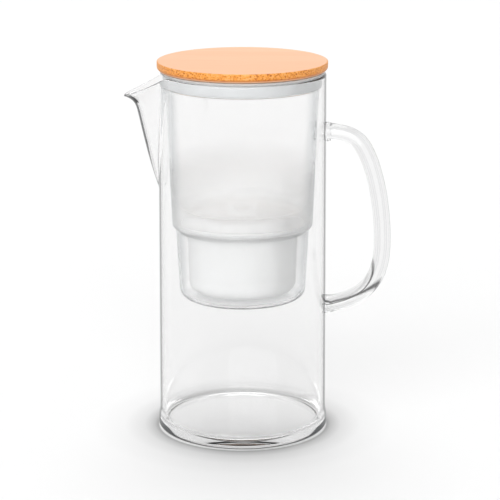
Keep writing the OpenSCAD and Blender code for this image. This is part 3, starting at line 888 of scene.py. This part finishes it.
def turned_inside(tree, light):
    """1 for a ray that came through one or two faces of glass and was thrown back on its way, because
    such rays come from the unlit sides of the studio, and 0 for any other."""
    crossed, turns = light.outputs["Transmission Depth"], light.outputs["Glossy Depth"]
    left = add(tree, "Math", {1: 2.5}, {0: crossed}, operation="LESS_THAN")
    entered = add(tree, "Math", {1: 0.5}, {0: crossed}, operation="GREATER_THAN")
    links = {0: left.outputs[0], 1: entered.outputs[0]}
    inside = add(tree, "Math", links=links, operation="MULTIPLY")
    thrown = add(tree, "Math", {1: 0.5}, {0: turns}, operation="GREATER_THAN")
    links = {0: inside.outputs[0], 1: thrown.outputs[0]}
    return add(tree, "Math", links=links, operation="MULTIPLY").outputs[0]


def pale_floor(tone, foot_r):
    """Matt painted floor: it keeps the object's shadow, and glows a little to the eye so that it meets
    the white surround. To a ray thrown back inside the glass it is an even grey."""
    material, tree, shader, at = surface(
        "pale_floor_matt_paint",
        {"Roughness": 0.9, "Specular IOR Level": 0.0, "Emission Color": rgba(1.0)},
    )
    light = add(tree, "LightPath")
    turned = turned_inside(tree, light)
    dim = add(
        tree, "ValToRGB", links={"Fac": turned},
        stops=[(0.0, tone), (1.0, np.array(tone) * UNLIT_FLOOR)],
    )
    # The clear pieces let the lamps through, so the thick foot's soft shadow is a ring here, from
    # 10 mm inside the foot's edge to 50 mm outside it
    split = add(tree, "SeparateXYZ", links={"Vector": at["Object"]}).outputs
    flat = add(tree, "CombineXYZ", links={"X": split["X"], "Y": split["Y"]})
    away = add(tree, "VectorMath", links={0: flat.outputs[0]}, operation="LENGTH")
    off = add(
        tree, "MapRange",
        {"From Min": foot_r - 10 * MM, "From Max": foot_r + 50 * MM},
        {"Value": away.outputs["Value"]},
    )
    ring = add(
        tree, "ValToRGB", links={"Fac": off.outputs["Result"]},
        stops=[
            (0.0, 0.9), (0.155, 0.9), (0.175, 0.42), (0.22, 0.6), (0.35, 0.82), (0.6, 0.95), (1.0, 1.0),
        ],
    )
    direct = add(tree, "Math", {0: 1.0}, {1: turned}, operation="SUBTRACT")
    shaded = add(
        tree, "Mix",
        links={"Factor": direct.outputs[0], 6: dim.outputs["Color"], 7: ring.outputs["Color"]},
        data_type="RGBA", blend_type="MULTIPLY",
    )
    faint = add(tree, "Math", {1: FLOOR_GLOW}, {0: seen_ray(tree, light)}, operation="MULTIPLY")
    glow = add(
        tree, "Math", {1: UNLIT_GLOW}, {0: turned, 2: faint.outputs[0]},
        operation="MULTIPLY_ADD",
    )
    link(tree, shader, {"Base Color": shaded.outputs[2], "Emission Strength": glow.outputs[0]})
    return material


def studio_world(stage):
    """Even studio light, and a white surround for the eye, for reflections and through the glass,
    which falls to grey overhead like the dark top of a light tent."""
    world = bpy.data.worlds.new("light_tent")
    bpy.context.scene.world = world
    world.use_nodes = True
    tree = world.node_tree
    tree.nodes.clear()
    light = add(tree, "LightPath")
    way = add(tree, "TexCoord").outputs["Generated"]
    up = add(tree, "SeparateXYZ", links={"Vector": way}).outputs["Z"]
    tent = add(tree, "ValToRGB", links={"Fac": up}, stops=[(0.0, 1.0), (0.6, 1.0), (0.85, 0.5)])
    side = add(
        tree, "MapRange", {"To Min": 1.0, "To Max": UNLIT_SIDE},
        {"Value": turned_inside(tree, light)},
    )
    even = add(tree, "Background", {"Color": rgba(1.0), "Strength": stage.ambient})
    tented = add(
        tree, "Background",
        links={"Color": tent.outputs["Color"], "Strength": side.outputs["Result"]},
    )
    both = add(
        tree, "MixShader",
        links={
            0: seen_ray(tree, light), 1: even.outputs["Background"],
            2: tented.outputs["Background"],
        },
    )
    add(tree, "OutputWorld", links={"Surface": both.outputs["Shader"]})


def dress(node, material):
    """Gives a carried-over CAD node its material."""
    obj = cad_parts[node]
    obj.data.materials.clear()
    obj.data.materials.append(material)


class FILTERJUG_OT_glass(bpy.types.Operator):
    """Blow the jug with its spout and melt the rod handle on"""

    bl_idname = "filter_jug.glass"
    bl_label = "Glass jug and handle"

    def execute(self, context):
        s = context.scene.jug_glass
        tones = context.scene.jug_finishes
        jug = put_mesh(
            "blown_jug", *jug_surface(s), "jug", "glass_jug", "clear_glass", blown_glass(tones), True
        )
        # The painted dark edge is wide round the spout's lip and the foot, and the inner wall has none
        mark(jug, "drawn", s.body_r + 4.5 * MM, 5 * MM, inside=-2.6, below=7 * MM)
        rod = rod_glass(tones)
        put_mesh("rod_handle", *handle_surface(s), "jug", "glass_handle", "clear_glass", rod, True)
        return {"FINISHED"}


class FILTERJUG_OT_hopper(bpy.types.Operator):
    """Mould the hopper with its band and its grommet"""

    bl_idname = "filter_jug.hopper"
    bl_label = "Hopper and seals"

    def execute(self, context):
        s = context.scene.jug_hopper
        tones = context.scene.jug_finishes
        plastic = hopper_copolyester(tones)
        # Milky silicone is satin and takes a little light in, and the grey one is duller
        milky = moulded("silicone_rubber_milky", tones.silicone, 0.4, 0.6, 0.05, **SILICONE)
        dark = moulded("silicone_rubber_grey", tones.grommet, 0.5, 0.5, 0.08, ior=1.41)
        shell, band, grommet = hopper_profile(s), band_profile(s), grommet_profile(s)
        for name, shape, node, finish, material, clear in (
            ("hopper_shell", lathe(shell), "hopper", "hopper_plastic", plastic, True),
            ("mouth_seal", lathe(band), "mouth_band", "clear_silicone", milky, False),
            ("outlet_seal", lathe(grommet, 96), "outlet_grommet", "grey_silicone", dark, False),
        ):
            put_mesh(name, *shape, "hopper_set", node, finish, material, clear)
        return {"FINISHED"}


class FILTERJUG_OT_cartridge(bpy.types.Operator):
    """Mould the cartridge's cup and cap and fill it"""

    bl_idname = "filter_jug.cartridge"
    bl_label = "Filter cartridge"

    def execute(self, context):
        s = context.scene.jug_cartridge
        tones = context.scene.jug_finishes
        # Polypropylene from a satin mould is even and waxy, and its gasket is soft and milky
        white = moulded("polypropylene_satin_moulded", tones.polypropylene, 0.4, 0.5, 0.08)
        soft = moulded("silicone_gasket_milky", tones.silicone, 0.45, 0.6, 0.05, **SILICONE)
        felt = needled_felt(tones.felt)
        # Glossy amber beads of 0.8 mm, and dull black granules of 1.4 mm with paler facets
        amber = np.array(tones.resin)
        resin = granules("ion_exchange_beads", amber, amber * 0.6, 0.8, 0.3, 0.8)
        carbon = granules("activated_carbon_granules", tones.carbon_facet, tones.carbon, 1.4, 0.6, 1.0)
        put_mesh(
            "cartridge_shell", *lathe(cup_profile(s)), "cartridge", "cartridge_cup",
            "cartridge_plastic", white,
        )
        fillings = (
            ("felt_disc_low", "bottom_felt", "felt", felt, 0.5, 1),
            ("felt_disc_middle", "middle_felt", "felt", felt, 0.5, 1),
            ("felt_disc_high", "top_felt", "felt", felt, 0.5, 1),
            ("bead_bed", "resin_bed", "resin_beads", resin, 1.2, RESIN_FOOT),
            ("granule_bed", "carbon_bed", "carbon_granules", carbon, 1.2, 1),
        )
        for name, node, finish, material, edge, taper in fillings:
            low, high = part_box(node)
            profile = disc_profile(high[0] * taper, high[0], low[2], high[2], edge * MM)
            put_mesh(name, *lathe(profile, 96), "cartridge", node, finish, material)
        for node, material in (
            ("cartridge_cap", white), ("outlet_strainer", white), ("cartridge_gasket", soft),
        ):
            dress(node, material)
        return {"FINISHED"}


class FILTERJUG_OT_lid(bpy.types.Operator):
    """Turn the bamboo board and plug and fit the sealing ring"""

    bl_idname = "filter_jug.lid"
    bl_label = "Bamboo lid"

    def execute(self, context):
        s = context.scene.jug_lid
        tones = context.scene.jug_finishes
        bamboo = oiled_bamboo(tones)
        ring = moulded("silicone_lip_milky", tones.silicone, 0.4, 0.6, 0.05, **SILICONE)
        for name, profile, node, edge_r in (
            ("lid_disc", board_profile(s), "lid_board", s.board_r),
            ("lid_boss", plug_profile(s), "lid_plug", s.plug_r),
        ):
            wood = put_mesh(name, *lathe(profile), "lid", node, "bamboo", bamboo)
            # The edge's deeper tone, partly oil and partly painted shade, begins 0.6 mm in from the
            # widest turn
            mark(wood, "turned", edge_r - 0.6 * MM, 0.6 * MM)
        put_mesh("lid_lip", *lathe(ring_profile(s)), "lid", "lid_ring", "clear_silicone", ring)
        return {"FINISHED"}


class FILTERJUG_OT_stage(bpy.types.Operator):
    """Lay the floor and set the light tent, the lamps and the camera"""

    bl_idname = "filter_jug.stage"
    bl_label = "Stage"

    def execute(self, context):
        scene = context.scene
        s = scene.jug_stage
        scene.view_settings.view_transform = "Standard"
        scene.cycles.max_bounces = BOUNCES
        scene.cycles.transmission_bounces = BOUNCES
        scene.cycles.glossy_bounces = BOUNCES
        mesh = bpy.data.meshes.new("floor")
        corners = ((-1, -1), (1, -1), (1, 1), (-1, 1))
        mesh.from_pydata(
            [(x * FLOOR_HALF, y * FLOOR_HALF, FLOOR_Z) for x, y in corners], [], [(0, 1, 2, 3)]
        )
        floor = bpy.data.objects.new("floor", mesh)
        foot_r = scene.jug_glass.body_r + scene.jug_glass.foot_swell
        mesh.materials.append(pale_floor(scene.jug_finishes.floor, foot_r))
        scene.collection.objects.link(floor)
        studio_world(s)
        # Name, strength, apparent size and turn in degrees
        lamps = (("key", s.key, 40, (-22, 0, 10)), ("fill", s.fill, 70, (68, 0, -12)))
        for name, energy, spread, turn in lamps:
            lamp = bpy.data.lights.new(name, "SUN")
            lamp.energy = energy
            lamp.angle = math.radians(spread)
            obj = bpy.data.objects.new(name, lamp)
            obj.rotation_euler = Euler([math.radians(x) for x in turn])
            scene.collection.objects.link(obj)
        camera = bpy.data.cameras.new("camera")
        camera.lens = s.lens
        camera.clip_start, camera.clip_end = 0.05, 100
        obj = bpy.data.objects.new("camera", camera)
        obj.location = Vector(
            (s.distance * math.sin(s.azimuth), -s.distance * math.cos(s.azimuth), s.height)
        )
        obj.rotation_euler = Euler((math.pi / 2 - s.pitch, 0, s.azimuth - s.yaw))
        scene.collection.objects.link(obj)
        scene.camera = obj
        return {"FINISHED"}


PIECES = (
    FILTERJUG_OT_glass, FILTERJUG_OT_hopper, FILTERJUG_OT_cartridge, FILTERJUG_OT_lid,
    FILTERJUG_OT_stage,
)
GROUPS = {
    "jug_glass": GlassSizes, "jug_hopper": HopperSizes, "jug_cartridge": CartridgeSizes,
    "jug_lid": LidSizes, "jug_finishes": Finishes, "jug_stage": StageSettings,
}


class FILTERJUG_PT_panel(bpy.types.Panel):
    """Pieces of the filter jug"""

    bl_label = "Filter Jug"
    bl_space_type = "VIEW_3D"
    bl_region_type = "UI"
    bl_category = "Filter Jug"

    def draw(self, context):
        for piece in PIECES:
            self.layout.operator(piece.bl_idname)
        for group in GROUPS:
            box = self.layout.box()
            settings = getattr(context.scene, group)
            for key in type(settings).__annotations__:
                box.prop(settings, key)


def register():
    for cls in (*GROUPS.values(), *PIECES, FILTERJUG_PT_panel):
        bpy.utils.register_class(cls)
    for name, group in GROUPS.items():
        setattr(bpy.types.Scene, name, PointerProperty(type=group))


def unregister():
    for name in GROUPS:
        delattr(bpy.types.Scene, name)
    for cls in (FILTERJUG_PT_panel, *PIECES, *GROUPS.values()):
        bpy.utils.unregister_class(cls)


def main():
    register()
    bpy.ops.filter_jug.glass()
    bpy.ops.filter_jug.hopper()
    bpy.ops.filter_jug.cartridge()
    bpy.ops.filter_jug.lid()
    bpy.ops.filter_jug.stage()


if __name__ == "__main__":
    main()
